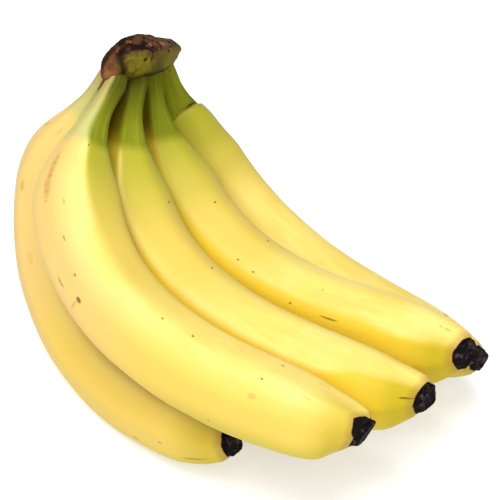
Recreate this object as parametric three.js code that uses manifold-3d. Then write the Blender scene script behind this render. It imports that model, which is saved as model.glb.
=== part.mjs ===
// A bunch of bananas: one hand of five fingers grown from a woody crown, lying on the backs of its two
// outer fingers with the crown and the tips raised. Millimetres, +Z up. The origin is on the surface
// that the bunch lies on, below the middle of its box, and +X is along its longest side.
//
// Each finger is its own closed skin, neck and fruit in one, and each dried flower end is a stub on a
// finger's tip. The crown is a cushion that the necks are sunk into.

import * as THREE from 'three';
import { mergeVertices } from 'three/addons/utils/BufferGeometryUtils.js';
import Module from 'manifold-3d';

const wasm = await Module();
wasm.setup();

// ---- Driving dimensions (mm and degrees) ----

const GAP = 0.3; // clear space between pieces that grow on each other

// A finger's length is shared out over five stretches: neck, shoulder, back, belly and tip.
const STRETCH_ENDS = [0, 0.12, 0.3, 0.6, 0.85, 1];
const SWAY_AT = [0.25, 0.7]; // where along a finger its two sideways bends are strongest

// Each finger leaves the crown at its root, heading so many degrees round from +X and dipping so many
// below level. `roll` turns the plane it bends in, `bend` is the turn made in each stretch, and `sway`
// is the turn out of that plane. `neck` is the neck's diameter, `turn` is how far its flat faces are
// turned round it, and `heart` is the station of the crown that its neck runs on into. A side is given
// by its angle round the finger: 0 is the hollow side and 180 the back. `aside` moves the neck over to
// a side. `swelling` fills the shoulder out at one place along the finger, on one side of it, `belly`
// does so just before the tip, and `tip` sets the tip's end back on one side by a slant in degrees.
const FINGERS = [
  {
    root: [-65.9, 51.9, 110.2], heading: -158.9, dip: 59.8, roll: -111.9, length: 212.2, girth: 35.9,
    neck: 8.0, bend: [4.4, 35.8, 48.1, 30.3, 2.2], sway: [-6.4, 11.0], turn: 4, heart: 2,
    aside: { side: 0, shift: 0 }, swelling: { at: 0.185, side: 180, rise: 1.6 },
    belly: { side: 165, rise: 1.6 }, tip: { side: 6, slant: 17 },
  },
  {
    root: [-62.5, 44.5, 109.6], heading: -119.0, dip: 28.1, roll: -98.0, length: 216.8, girth: 35.3,
    neck: 9.3, bend: [10.9, 33.6, 40.5, 14.9, 5.5], sway: [1.3, -5.5], turn: 8, heart: 3,
    aside: { side: 0, shift: 0 }, swelling: { at: 0.3, side: 80, rise: 0.4 },
    belly: { side: 190, rise: 2.0 }, tip: { side: 190, slant: 23 },
  },
  {
    root: [-53.3, 55.2, 104.6], heading: -102.3, dip: 52.7, roll: -71.9, length: 214.8, girth: 34.5,
    neck: 9.6, bend: [3.9, 40.8, 33.5, 9.0, 13.7], sway: [2.5, 8.3], turn: 10, heart: 4,
    aside: { side: 154, shift: 1.3 }, swelling: { at: 0.08, side: 154, rise: 2.4 },
    belly: { side: 165, rise: 0.6 }, tip: { side: 140, slant: 22 },
  },
  {
    root: [-48.3, 74.2, 94.7], heading: -72.0, dip: 62.5, roll: -37.6, length: 212.2, girth: 35.8,
    neck: 9.4, bend: [3.8, 37.9, 33.5, 11.2, 2.4], sway: [-1.2, 12.3], turn: 2, heart: 6,
    aside: { side: 143, shift: 1.5 }, swelling: { at: 0.065, side: 143, rise: 1.6 },
    belly: { side: 150, rise: 1.2 }, tip: { side: 100, slant: 20 },
  },
  {
    root: [-45.7, 83.9, 92.6], heading: 2.0, dip: 68.9, roll: 46.2, length: 221.8, girth: 34.7,
    neck: 9.5, bend: [-3.2, 45.4, 37.6, 2.9, 13.1], sway: [-12.3, 27.1], turn: 0, heart: 7,
    aside: { side: 0, shift: 0 }, swelling: { at: 0.145, side: 320, rise: 2.2 },
    belly: { side: 120, rise: -1.8 }, tip: { side: 169, slant: 10 },
  },
];

// The fruit swells from its neck over the shoulder, draws in to its tip, and ends bluntly.
const SHOULDER_START = 0.042;
const SHOULDER_END = 0.268;
const TAPER_START = 0.605;
const TAPER_POWER = 5.5;
const TIP_SHARE = 0.39; // the tip's radius against the fruit's
const BLUNT_START = 0.984;
const BLUNT_SHARE = 0.14; // of the tip's radius
const SLANT_START = 0.93;
const SWELLING_SPREAD = 0.045; // of the length
const BELLY_AT = 0.93;
const BELLY_SPREAD = 0.06;

// A finger is round but for five flattened faces, with blunt ridges between them. Each face looks to
// one side, and cuts that share of the radius off. The faces are deeper on the neck and at the tip.
const FACES = [
  { side: 35, depth: 0.1 },
  { side: 82, depth: 0.075 },
  { side: 128, depth: 0.09 },
  { side: 192, depth: 0.09 },
  { side: 292, depth: 0.11 },
];
const FACES_ON_FRUIT = 0.8; // times their depth
const FACES_AT_ENDS = 1.3;
const FACES_ON_STUB = 2;
const TIP_FACES_START = 0.8; // where along a finger they begin to deepen towards the tip
const RIDGE_CRISPNESS = 24;
const STUB_CRISPNESS = 40;
const ROUND_SHARE = 1.045; // the radius between the faces, against half the girth

const NECK_SUNK = 0.85; // how much of the way from its root to the crown's heart a neck runs on
const NECK_END = 0.8; // of the neck's radius, at its end inside the crown
const FINGER_SIDES = 24;
const FINGER_STEPS = 68;

// The dried flower end is a short stub on the tip, with the tip's own section and a sunk middle.
const STUB_PROFILE = [
  { depth: 0, share: 1 },
  { depth: 1.2, share: 1 },
  { depth: 2.1, share: 0.84 },
  { depth: 1.5, share: 0.5 },
];

// The crown is a cushion along a line over the roots, with its reach up, down, forward and back there.
// The knife left it a flat top.
const CROWN_LINE = [
  { at: [-67.9, 47.6, 110.5], up: 1.4, down: 1.6, front: 2.2, back: 2.0 },
  { at: [-66.4, 48.2, 112.7], up: 3.0, down: 4.6, front: 4.6, back: 3.7 },
  { at: [-64.0, 50.6, 115.3], up: 4.7, down: 6.6, front: 7.0, back: 5.0 },
  { at: [-60.3, 53.9, 115.9], up: 6.6, down: 7.6, front: 8.4, back: 6.6 },
  { at: [-55.9, 59.0, 114.1], up: 8.1, down: 8.1, front: 8.7, back: 8.7 },
  { at: [-51.7, 65.5, 110.8], up: 7.8, down: 7.8, front: 9.4, back: 9.4 },
  { at: [-47.9, 73.5, 106.3], up: 6.5, down: 6.5, front: 8.2, back: 8.2 },
  { at: [-44.6, 80.8, 102.5], up: 5.0, down: 5.0, front: 6.1, back: 6.1 },
  { at: [-42.1, 85.4, 100.1], up: 3.6, down: 3.6, front: 4.1, back: 4.1 },
  { at: [-40.1, 88.1, 98.6], up: 1.8, down: 1.8, front: 2.4, back: 2.4 },
];
const CUT_AT = [-54.1, 65.9, 118.5]; // a point of the cut
const CUT_FACING = [0.2, 0.28, 0.94];
const CROWN_SIDES = 24;
const CROWN_STEPS = 20;
const CROWN_SQUARENESS = 2.8; // 2 would make its section an ellipse
const CROWN_LUMP = 0.03; // of the radius
const CROWN_LUMPS_ROUND = 4; // lumps in one turn round it
const CROWN_LUMPS_TWIST = 17; // how far they twist from end to end, in radians

// ---- Materials ----

const peel = new THREE.MeshStandardMaterial({ name: 'peel', color: 0xeecb55, roughness: 0.5, metalness: 0 });
const wood = new THREE.MeshStandardMaterial({ name: 'crown', color: 0x5f4327, roughness: 0.85, metalness: 0 });
const dried = new THREE.MeshStandardMaterial({ name: 'dried', color: 0x221a15, roughness: 0.95, metalness: 0 });

// ---- Shapes shared by the pieces ----

const smooth = (t) => THREE.MathUtils.smoothstep(t, 0, 1);

// The value at x of the straight lines through (xs, ys), level beyond both ends.
function between(xs, ys, x) {
  if (x <= xs[0]) return ys[0];
  for (let i = 1; i < xs.length; i += 1) {
    if (x <= xs[i]) return THREE.MathUtils.mapLinear(x, xs[i - 1], xs[i], ys[i - 1], ys[i]);
  }
  return ys[ys.length - 1];
}

// Joins rings of points into one closed skin, with a fan over each end ring.
function skin(rings) {
  const sides = rings[0].length;
  const middle = (ring) => ring.reduce((sum, p) => sum.add(p), new THREE.Vector3()).divideScalar(sides);
  const points = [...rings.flat(), middle(rings[0]), middle(rings[rings.length - 1])];
  const first = points.length - 2;
  const last = points.length - 1;
  const lastRing = (rings.length - 1) * sides;
  const faces = [];
  for (let j = 0; j < sides; j += 1) {
    const k = (j + 1) % sides;
    for (let i = 0; i < rings.length - 1; i += 1) {
      const here = i * sides;
      const next = here + sides;
      faces.push(here + j, here + k, next + k);
      faces.push(here + j, next + k, next + j);
    }
    faces.push(first, k, j);
    faces.push(last, lastRing + j, lastRing + k);
  }
  const geometry = new THREE.BufferGeometry();
  geometry.setAttribute('position', new THREE.Float32BufferAttribute(points.flatMap((p) => p.toArray()), 3));
  geometry.setIndex(faces);
  return geometry;
}

// The direction across a station's line that looks to a side.
function towards(station, side) {
  const turn = THREE.MathUtils.degToRad(side);
  return station.inner.clone().multiplyScalar(Math.cos(turn)).addScaledVector(station.flank, Math.sin(turn));
}

// A ring of points round a station, counted from a start angle, its radius worked out for each angle.
function ringAround(station, sides, start, radiusAt) {
  const ring = [];
  for (let j = 0; j < sides; j += 1) {
    const angle = start + (j / sides) * 360;
    ring.push(station.point.clone().addScaledVector(towards(station, angle), radiusAt(angle)));
  }
  return ring;
}

function toSolid(geometry) {
  const bare = mergeVertices(geometry, 1e-4);
  return new wasm.Manifold(new wasm.Mesh({
    numProp: 3,
    vertProperties: bare.attributes.position.array,
    triVerts: new Uint32Array(bare.index.array),
  }));
}

function toGeometry(solid) {
  const mesh = solid.getMesh();
  const geometry = new THREE.BufferGeometry();
  geometry.setAttribute('position', new THREE.Float32BufferAttribute(mesh.vertProperties, 3));
  geometry.setIndex(Array.from(mesh.triVerts));
  return geometry;
}

// ---- Fingers ----

// The stations along a finger's middle line: the point, the way it runs, the side it bends towards
// (inner) and the side across that (flank).
function fingerLine(finger, steps) {
  const heading = THREE.MathUtils.degToRad(finger.heading);
  const dip = THREE.MathUtils.degToRad(finger.dip);
  const ahead = new THREE.Vector3(
    Math.cos(heading) * Math.cos(dip),
    Math.sin(heading) * Math.cos(dip),
    -Math.sin(dip),
  );
  const hinge = new THREE.Vector3(-Math.sin(heading), Math.cos(heading), 0);
  hinge.applyAxisAngle(ahead, THREE.MathUtils.degToRad(finger.roll));

  const shares = STRETCH_ENDS.slice(1).map((end, i) => end - STRETCH_ENDS[i]);
  const middles = shares.map((share, i) => STRETCH_ENDS[i] + share / 2);
  const rates = finger.bend.map((bend, i) => bend / shares[i]);
  const point = new THREE.Vector3(...finger.root);
  const stations = [];
  for (let i = 0; i <= steps; i += 1) {
    const inner = new THREE.Vector3().crossVectors(ahead, hinge);
    const flank = new THREE.Vector3().crossVectors(ahead, inner);
    stations.push({ along: i / steps, point: point.clone(), ahead: ahead.clone(), inner, flank });
    const halfway = (i + 0.5) / steps;
    const bend = THREE.MathUtils.degToRad(between(middles, rates, halfway) / steps);
    const sway = THREE.MathUtils.degToRad(between(SWAY_AT, finger.sway, halfway) / steps);
    const before = ahead.clone();
    ahead.applyAxisAngle(hinge, -bend);
    const side = new THREE.Vector3().crossVectors(ahead, hinge);
    ahead.applyAxisAngle(side, sway).normalize();
    hinge.addScaledVector(ahead, -hinge.dot(ahead)).normalize();
    point.addScaledVector(before.add(ahead), finger.length / steps / 2);
  }
  return stations;
}

// The radius of a finger, before its faces.
function fruitRadius(finger, along) {
  const neckShare = finger.neck / finger.girth;
  const swell = smooth((along - SHOULDER_START) / (SHOULDER_END - SHOULDER_START));
  const taper = THREE.MathUtils.clamp((along - TAPER_START) / (1 - TAPER_START), 0, 1);
  const shape = (neckShare + (1 - neckShare) * swell) * (1 - (1 - TIP_SHARE) * taper ** TAPER_POWER);
  const blunt = BLUNT_SHARE * smooth((along - BLUNT_START) / (1 - BLUNT_START)) ** 2;
  return (finger.girth / 2) * ROUND_SHARE * shape * (1 - blunt);
}

// What the faces leave of the radius at an angle. `flatness` makes them all deeper or shallower.
function facedShare(angle, flatness, crispness) {
  let cut = 1;
  for (const face of FACES) {
    const facing = Math.max(Math.cos(THREE.MathUtils.degToRad(angle - face.side)), 0);
    cut += (facing / (1 - flatness * face.depth)) ** crispness;
  }
  return cut ** (-1 / crispness);
}

function flatnessAt(along) {
  const ends = 1 - smooth(along / SHOULDER_END) + smooth((along - TIP_FACES_START) / (1 - TIP_FACES_START));
  return THREE.MathUtils.lerp(FACES_ON_FRUIT, FACES_AT_ENDS, ends);
}

// How far a swelling lifts the skin.
function lift(along, angle, { at, side, rise, spread }) {
  const facing = 0.5 + 0.5 * Math.cos(THREE.MathUtils.degToRad(angle - side));
  return rise * facing ** 2 * Math.exp(-(((along - at) / spread) ** 2));
}

// Sets a ring back on the side that the tip slants to, by its corners' distance from the middle.
function slant(ring, station, finger, share) {
  const back = towards(station, finger.tip.side);
  const slope = Math.tan(THREE.MathUtils.degToRad(finger.tip.slant)) * share;
  for (const corner of ring) {
    const off = corner.clone().sub(station.point).dot(back);
    corner.addScaledVector(station.ahead, -slope * off);
  }
}

// A finger's skin, or with some extra radius the room that it takes up in its neighbours.
function fingerSkin(finger, extra = 0) {
  const swellings = [
    { ...finger.swelling, spread: SWELLING_SPREAD },
    { ...finger.belly, at: BELLY_AT, spread: BELLY_SPREAD },
  ];
  const line = fingerLine(finger, FINGER_STEPS);
  // Every second station is enough, but for the one where the blunt end starts.
  const kept = line.filter((_, i) => i % 2 === 0 || i === FINGER_STEPS - 1);
  const rings = kept.map((station) => {
    const { along } = station;
    const radius = fruitRadius(finger, along);
    const ring = ringAround(station, FINGER_SIDES, finger.turn, (angle) => {
      const faced = radius * facedShare(angle - finger.turn, flatnessAt(along), RIDGE_CRISPNESS);
      return swellings.reduce((reach, swelling) => reach + lift(along, angle, swelling), faced + extra);
    });
    slant(ring, station, finger, smooth((along - SLANT_START) / (1 - SLANT_START)));
    const neckShare = 1 - smooth((along - SHOULDER_START) / (SHOULDER_END - SHOULDER_START));
    const aside = towards(station, finger.aside.side).multiplyScalar(finger.aside.shift * neckShare);
    return ring.map((corner) => corner.add(aside));
  });
  // The neck runs on into the crown.
  const root = line[0].point;
  const heart = new THREE.Vector3(...CROWN_LINE[finger.heart].at);
  const sunk = root.clone().lerp(heart, NECK_SUNK);
  rings.unshift(rings[0].map((corner) => corner.clone().sub(root).multiplyScalar(NECK_END).add(sunk)));
  // Where the bunch lies on a finger, its back is pressed flat.
  for (const corner of rings.flat()) corner.z = Math.max(corner.z, 0);
  return skin(rings);
}

// ---- Dried flower ends ----

function stubSkin(finger) {
  const line = fingerLine(finger, FINGER_STEPS);
  const tip = line[line.length - 1];
  const radius = fruitRadius(finger, 1);
  const rings = STUB_PROFILE.map(({ depth, share }) => {
    const station = { ...tip, point: tip.point.clone().addScaledVector(tip.ahead, GAP + depth) };
    const ring = ringAround(station, FINGER_SIDES, finger.turn, (angle) => (
      radius * share * facedShare(angle - finger.turn, FACES_ON_STUB, STUB_CRISPNESS)
    ));
    slant(ring, station, finger, 1);
    return ring;
  });
  return skin(rings);
}

// ---- Crown ----

function crownSkin() {
  const path = new THREE.CatmullRomCurve3(CROWN_LINE.map(({ at }) => new THREE.Vector3(...at)));
  const marks = CROWN_LINE.map((_, i) => i / (CROWN_LINE.length - 1));
  const reachAt = (name, along) => between(marks, CROWN_LINE.map((place) => place[name]), along);
  const rings = [];
  for (let i = 0; i <= CROWN_STEPS; i += 1) {
    const along = i / CROWN_STEPS;
    const ahead = path.getTangent(along);
    const inner = new THREE.Vector3(-ahead.y, ahead.x, 0).normalize();
    const flank = new THREE.Vector3().crossVectors(ahead, inner);
    const station = { point: path.getPoint(along), inner, flank };
    rings.push(ringAround(station, CROWN_SIDES, 0, (angle) => {
      const turn = THREE.MathUtils.degToRad(angle);
      const deep = reachAt(Math.cos(turn) > 0 ? 'back' : 'front', along);
      const high = reachAt(Math.sin(turn) > 0 ? 'up' : 'down', along);
      const across = Math.abs(Math.cos(turn) / deep) ** CROWN_SQUARENESS;
      const upward = Math.abs(Math.sin(turn) / high) ** CROWN_SQUARENESS;
      const lump = 1 + CROWN_LUMP * Math.sin(turn * CROWN_LUMPS_ROUND + along * CROWN_LUMPS_TWIST);
      return lump * (across + upward) ** (-1 / CROWN_SQUARENESS);
    }));
  }
  const facing = new THREE.Vector3(...CUT_FACING).normalize();
  const cut = new THREE.Plane().setFromNormalAndCoplanarPoint(facing, new THREE.Vector3(...CUT_AT));
  for (const corner of rings.flat()) {
    if (cut.distanceToPoint(corner) > 0) cut.projectPoint(corner.clone(), corner);
  }
  return skin(rings);
}

// ---- The bunch ----

const hand = new THREE.Group();

function addPiece(name, geometry, material) {
  const mesh = new THREE.Mesh(geometry, material);
  mesh.name = name;
  hand.add(mesh);
}

const fingers = FINGERS.map((finger) => toSolid(fingerSkin(finger)));
const rooms = FINGERS.map((finger) => toSolid(fingerSkin(finger, GAP)));

// Where two necks or two sides press on each other, the later finger gives way to the earlier one.
for (let i = 1; i < fingers.length; i += 1) {
  for (let j = 0; j < i; j += 1) fingers[i] = fingers[i].subtract(rooms[j]);
}

const crown = rooms.reduce((left, room) => left.subtract(room), toSolid(crownSkin()));

addPiece('crown', toGeometry(crown), wood);
fingers.forEach((solid, i) => addPiece(`finger_${i + 1}`, toGeometry(solid), peel));
FINGERS.forEach((finger, i) => addPiece(`blossom_end_${i + 1}`, stubSkin(finger), dried));

export default hand;
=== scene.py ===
import math

import bpy
import numpy as np
from mathutils import Matrix, Vector, noise


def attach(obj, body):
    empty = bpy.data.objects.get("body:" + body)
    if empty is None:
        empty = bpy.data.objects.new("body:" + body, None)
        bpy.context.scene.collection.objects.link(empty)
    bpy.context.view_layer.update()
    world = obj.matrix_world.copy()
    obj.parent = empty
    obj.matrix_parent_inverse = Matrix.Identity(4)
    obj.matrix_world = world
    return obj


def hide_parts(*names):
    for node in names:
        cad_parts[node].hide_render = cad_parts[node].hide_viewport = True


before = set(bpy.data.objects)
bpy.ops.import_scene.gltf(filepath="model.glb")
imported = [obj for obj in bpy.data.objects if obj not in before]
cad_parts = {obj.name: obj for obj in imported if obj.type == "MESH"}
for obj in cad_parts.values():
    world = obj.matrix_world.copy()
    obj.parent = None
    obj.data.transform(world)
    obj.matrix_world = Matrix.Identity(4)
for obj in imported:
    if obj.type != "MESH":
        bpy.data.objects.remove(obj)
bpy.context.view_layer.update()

# ---- Wiring of node trees ----


def plug(value, socket):
    """Links a wire into a socket, or sets the socket to a plain value."""
    if isinstance(value, Wire):
        value.tree.links.new(value.socket, socket)
    else:
        socket.default_value = value


def fill(node, values):
    """Plugs values into a node's inputs by their names."""
    for name, value in values.items():
        plug(value, node.inputs[name])


class Wire:
    """A node's output that can be added, multiplied and so on. Each step is a Math node."""

    def __init__(self, tree, socket):
        self.tree, self.socket = tree, socket

    def math(self, operation, *others):
        node = self.tree.nodes.new("ShaderNodeMath")
        node.operation = operation
        for value, socket in zip((self, *others), node.inputs):
            plug(value, socket)
        return Wire(self.tree, node.outputs[0])

    def __add__(self, other):
        return self.math("ADD", other)

    def __sub__(self, other):
        return self.math("SUBTRACT", other)

    def __mul__(self, other):
        return self.math("MULTIPLY", other)

    def __truediv__(self, other):
        return self.math("DIVIDE", other)

    def minus_from(self, value):
        """The value less the wire."""
        return self.math("MULTIPLY_ADD", -1, value)

    def power(self, other):
        return self.math("POWER", other)

    def at_least(self, low):
        return self.math("MAXIMUM", low)

    def wrapped(self, low, high):
        return self.math("WRAP", high, low)

    def cosine(self):
        """The cosine of degrees."""
        return (self * math.radians(1)).math("COSINE")

    def sine(self):
        return (self * math.radians(1)).math("SINE")

    def wander(self, far):
        """A pattern about 0.5 turned into a shift either way."""
        return (self - 0.5) * far

    def bell(self, width):
        """1 where the wire is 0, fading over the width."""
        return (self / width).power(2).minus_from(0).math("EXPONENT")

    def ramp(self, start, end, low=0, high=1, kind="SMOOTHSTEP"):
        """From low to high while the wire goes from start to end, and level outside them."""
        node = self.tree.nodes.new("ShaderNodeMapRange")
        node.interpolation_type = kind
        fill(node, {"Value": self, "From Min": start, "From Max": end, "To Min": low, "To Max": high})
        return Wire(self.tree, node.outputs[0])


def vectors(operation, *values):
    """A Vector Math node's output. A plain number for Scale goes last."""
    tree = values[0].tree
    node = tree.nodes.new("ShaderNodeVectorMath")
    node.operation = operation
    sockets = [node.inputs[0], node.inputs["Scale"]] if operation == "SCALE" else node.inputs
    for value, socket in zip(values, sockets):
        plug(value, socket)
    return Wire(tree, node.outputs[0])


def combined(*values):
    """A vector of up to three numbers."""
    tree = values[0].tree
    node = tree.nodes.new("ShaderNodeCombineXYZ")
    for value, socket in zip(values, node.inputs):
        plug(value, socket)
    return Wire(tree, node.outputs[0])


def apart(vector):
    """A vector's three numbers."""
    node = vector.tree.nodes.new("ShaderNodeSeparateXYZ")
    plug(vector, node.inputs[0])
    return [Wire(vector.tree, socket) for socket in node.outputs]


# ---- Camera, floor and lights ----
# A plain pale floor in a bright white room, under two large soft lamps. The camera looks down on the
# front finger through a long lens, leaning a little to one side.
AIM = Vector((-0.00034, 0.00422, 0.05989))
CAMERA_AWAY = 0.85
CAMERA_ELEVATION = math.radians(42.31)
CAMERA_LEAN = math.radians(5.13)
LENS_MM = 145.7
SENSOR_MM = 36
FLOOR_HALF = 6.0
WHITE = (1, 1, 1, 1)
FLOOR_WHITE = (0.68, 0.68, 0.68, 1)
FLOOR_ROUGHNESS = 0.9
FLOOR_GLOW = 0.4
ROOM_LIGHT = 0.4
# Each lamp's name, place, width in metres and watts.
LAMPS = (
    ("main_lamp", (-0.22, -0.22, 1.2), 0.9, 17.4),
    ("front_lamp", (0.1, -1.0, 0.8), 0.8, 7.5),
)

scene = bpy.context.scene
scene.view_settings.view_transform = "Standard"


def placed(name, data):
    """A new object in the scene."""
    thing = bpy.data.objects.new(name, data)
    scene.collection.objects.link(thing)
    return thing


camera = placed("camera", bpy.data.cameras.new("camera"))
camera.data.lens = LENS_MM
camera.data.sensor_width = SENSOR_MM
lean = Matrix.Rotation(CAMERA_LEAN, 4, "Z")
look = Matrix.Rotation(math.pi / 2 - CAMERA_ELEVATION, 4, "X") @ lean
camera.matrix_world = Matrix.Translation(AIM) @ look @ Matrix.Translation((0, 0, CAMERA_AWAY))
scene.camera = camera


def new_finish(name):
    """A new material and its shader."""
    material = bpy.data.materials.new(name)
    material.use_nodes = True
    return material, material.node_tree.nodes["Principled BSDF"]


floor_corners = [(x * FLOOR_HALF, y * FLOOR_HALF, 0) for x, y in ((-1, -1), (1, -1), (1, 1), (-1, 1))]
floor_mesh = bpy.data.meshes.new("floor")
floor_mesh.from_pydata(floor_corners, [], [(0, 1, 2, 3)])
floor = placed("floor", floor_mesh)
floor_paint, floor_shader = new_finish("floor paint")
fill(floor_shader, {
    "Base Color": FLOOR_WHITE, "Roughness": FLOOR_ROUGHNESS, "Emission Color": WHITE,
    "Emission Strength": FLOOR_GLOW,
})
floor_mesh.materials.append(floor_paint)

world = bpy.data.worlds.new("room")
scene.world = world
world.use_nodes = True
fill(world.node_tree.nodes["Background"], {"Color": WHITE, "Strength": ROOM_LIGHT})

for name, place, width, watts in LAMPS:
    lamp = placed(name, bpy.data.lights.new(name, "AREA"))
    lamp.data.size = width
    lamp.data.energy = watts
    lamp.location = place
    lamp.rotation_mode = "QUATERNION"
    lamp.rotation_quaternion = (AIM - lamp.location).to_track_quat("-Z", "Y")

# ---- Fingers ----
# Five bananas grown side by side, each one tough waxy skin from its thin green neck, over the fat
# curved fruit with its five blunt ridges, to a narrow end. Their necks are grown fast to the crown,
# and the outer two carry the bunch on their backs.

# A finger's shape, in millimetres and degrees. A side is counted round the finger, where 0 is the
# hollow side of its curve and 180 its back, and a place along it is a share of its length.
#   root, heading, dip: where the neck starts, and its course, counted round from +X and below level
#   roll, bend: turn of the plane that it curves in, and the curve of each of five stretches
#   length, girth, neck: along the middle line, across the fruit, and across the neck
#   sway: its turn out of that plane at two places, in degrees for a whole length
#   turn: turn of the five ridges
#   heart: the place in the crown that the neck runs on to
#   neck_aside: the side that the neck stands off to, and how far
#   swelling: place, side and rise of the swelling that fills the shoulder out
#   belly: side and rise of the swelling before the tip, or its hollow if below 0
#   fold: depth of the crease where the neck is bent over
#   tip: the side that the tip is set back on, and its slant
FINGERS = (
    dict(root=(-65.9, 51.9, 110.2), heading=-158.9, dip=59.8, roll=-111.9, length=212.2, girth=35.9,
        neck=8.0, bend=(4.4, 35.8, 48.1, 30.3, 2.2), sway=(-6.4, 11.0), turn=4,
        heart=(-64.0, 50.6, 115.3), neck_aside=(0, 0), swelling=(0.185, 180, 1.6), belly=(165, 1.6),
        fold=0, tip=(6, 17)),
    dict(root=(-62.5, 44.5, 109.6), heading=-119.0, dip=28.1, roll=-98.0, length=216.8, girth=35.3,
        neck=9.3, bend=(10.9, 33.6, 40.5, 14.9, 5.5), sway=(1.3, -5.5), turn=8,
        heart=(-60.3, 53.9, 115.9), neck_aside=(0, 0), swelling=(0.3, 80, 0.4), belly=(190, 2.0),
        fold=0, tip=(190, 23)),
    dict(root=(-53.3, 55.2, 104.6), heading=-102.3, dip=52.7, roll=-71.9, length=214.8, girth=34.5,
        neck=9.6, bend=(3.9, 40.8, 33.5, 9.0, 13.7), sway=(2.5, 8.3), turn=10,
        heart=(-55.9, 59.0, 114.1), neck_aside=(154, 1.3), swelling=(0.08, 154, 2.4), belly=(165, 0.6),
        fold=0, tip=(140, 22)),
    dict(root=(-48.3, 74.2, 94.7), heading=-72.0, dip=62.5, roll=-37.6, length=212.2, girth=35.8,
        neck=9.4, bend=(3.8, 37.9, 33.5, 11.2, 2.4), sway=(-1.2, 12.3), turn=2,
        heart=(-47.9, 73.5, 106.3), neck_aside=(143, 1.5), swelling=(0.065, 143, 1.6), belly=(150, 1.2),
        fold=0, tip=(100, 20)),
    dict(root=(-45.7, 83.9, 92.6), heading=2.0, dip=68.9, roll=46.2, length=221.8, girth=34.7,
        neck=9.5, bend=(-3.2, 45.4, 37.6, 2.9, 13.1), sway=(-12.3, 27.1), turn=0,
        heart=(-44.6, 80.8, 102.5), neck_aside=(0, 0), swelling=(0.145, 320, 2.2), belly=(120, -1.8),
        fold=1.3, tip=(169, 10),
    ),
)
# Where a finger's five stretches end and where its sway is given, as shares of its length.
STRETCH_ENDS = (0, 0.12, 0.3, 0.6, 0.85, 1)
SWAY_AT = (0.25, 0.7)
NECK_SUNK = 0.85  # share of the way from the root to the heart
NECK_END = 0.8  # share of the neck's width where it ends in the crown
TIP_CLOSING = ((0.8, 0.3), (0.4, 0.6), (0, 0.7))  # share of the width, and depth in millimetres
FACETS = ((35, 0.10), (82, 0.075), (128, 0.09), (192, 0.09), (292, 0.11))  # side, and cut as a share
SECTION_SCALE = 1.045  # makes up for what the flat faces take off the girth
SWELLING_SPREAD = 0.045
BELLY_AT = 0.93
BELLY_SPREAD = 0.06
TIP_SLANT_START = 0.93
FLAT_TIP_START = 0.8
BLUNT_START = 0.984
BLUNT_SHARE = 0.14
FOLD_AT = 0.103
FOLD_DROOP = 0.03  # how much later the crease comes a quarter turn round
FOLD_WIDTH = 0.004
FOLD_SIDE = -40
FOLD_REACH = 75
PINCH_START = -0.07
PINCH_END = 0.007
PINCH_SHARE = 1.4
FINGER_STEPS = 260
FINGER_SIDES = 108
LUMP_DETAIL = 2
WELD_WITHIN = 1e-6
MM = 0.001
# The inputs of the skin's tree, in metres, degrees and shares.
SKIN_SIZES = {
    "Girth": 0.036, "Neck": 0.008, "Neck aside": 0.0, "Neck aside angle": 0.0,
    "Shoulder start": 0.042, "Shoulder end": 0.268, "Taper start": 0.605, "Taper power": 5.5,
    "Tip share": 0.39, "Tip slant": 0.2, "Tip facing": 0.0,
    "Ridge turn": 0.0, "Ridge crispness": 24.0, "Flatness": 0.8, "Flatness at the ends": 1.3,
    "Swelling at": 0.2, "Swelling side": 0.0, "Swelling rise": 0.001,
    "Belly side": 165.0, "Belly rise": 0.001, "Fold depth": 0.0,
    "Unevenness": 0.0005, "Lumps in a metre": 38.0,
}


def middle_line(finger):
    """The stations along a finger: place, along, share of its width, inner and flank directions."""
    heading, dip = math.radians(finger["heading"]), math.radians(finger["dip"])
    level = math.cos(dip)
    ahead = Vector((math.cos(heading) * level, math.sin(heading) * level, -math.sin(dip)))
    hinge = Vector((-math.sin(heading), math.cos(heading), 0))
    hinge.rotate(Matrix.Rotation(math.radians(finger["roll"]), 3, ahead))
    ends = np.array(STRETCH_ENDS)
    middles, shares = (ends[1:] + ends[:-1]) / 2, np.diff(ends)
    point = Vector(finger["root"])
    stations = []
    for step in range(FINGER_STEPS + 1):
        inner = ahead.cross(hinge)
        stations.append([point.copy(), step / FINGER_STEPS, 1, inner, ahead.cross(inner)])
        halfway = (step + 0.5) / FINGER_STEPS
        bend = math.radians(np.interp(halfway, middles, finger["bend"] / shares) / FINGER_STEPS)
        sway = math.radians(np.interp(halfway, SWAY_AT, finger["sway"]) / FINGER_STEPS)
        before = ahead.copy()
        ahead.rotate(Matrix.Rotation(-bend, 3, hinge))
        ahead.rotate(Matrix.Rotation(sway, 3, ahead.cross(hinge)))
        ahead.normalize()
        hinge = (hinge - ahead * hinge.dot(ahead)).normalized()
        point += (before + ahead) * (finger["length"] / FINGER_STEPS / 2)
    last = stations[-1]
    sunk = stations[0][0].lerp(Vector(finger["heart"]), NECK_SUNK)
    ways = stations[0][3:]
    start = [[sunk, 0, 0, *ways], [sunk, 0, NECK_END, *ways]]
    closing = [[last[0] - ahead * depth, 1, share, *last[3:]] for share, depth in TIP_CLOSING]
    return [*start, *stations, *closing]


def line_mesh(name, line):
    """A mesh of a finger's stations, with what is known of each one kept on its point."""
    mesh = bpy.data.meshes.new(name)
    edges = [(i, i + 1) for i in range(len(line) - 1)]
    mesh.from_pydata([station[0] * MM for station in line], edges, [])
    for place, title, kind, field in (
        (1, "along", "FLOAT", "value"), (2, "full", "FLOAT", "value"),
        (3, "inner", "FLOAT_VECTOR", "vector"), (4, "flank", "FLOAT_VECTOR", "vector"),
    ):
        values = np.array([station[place] for station in line], float).ravel()
        mesh.attributes.new(title, kind, "POINT").data.foreach_set(field, values)
    return mesh


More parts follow.
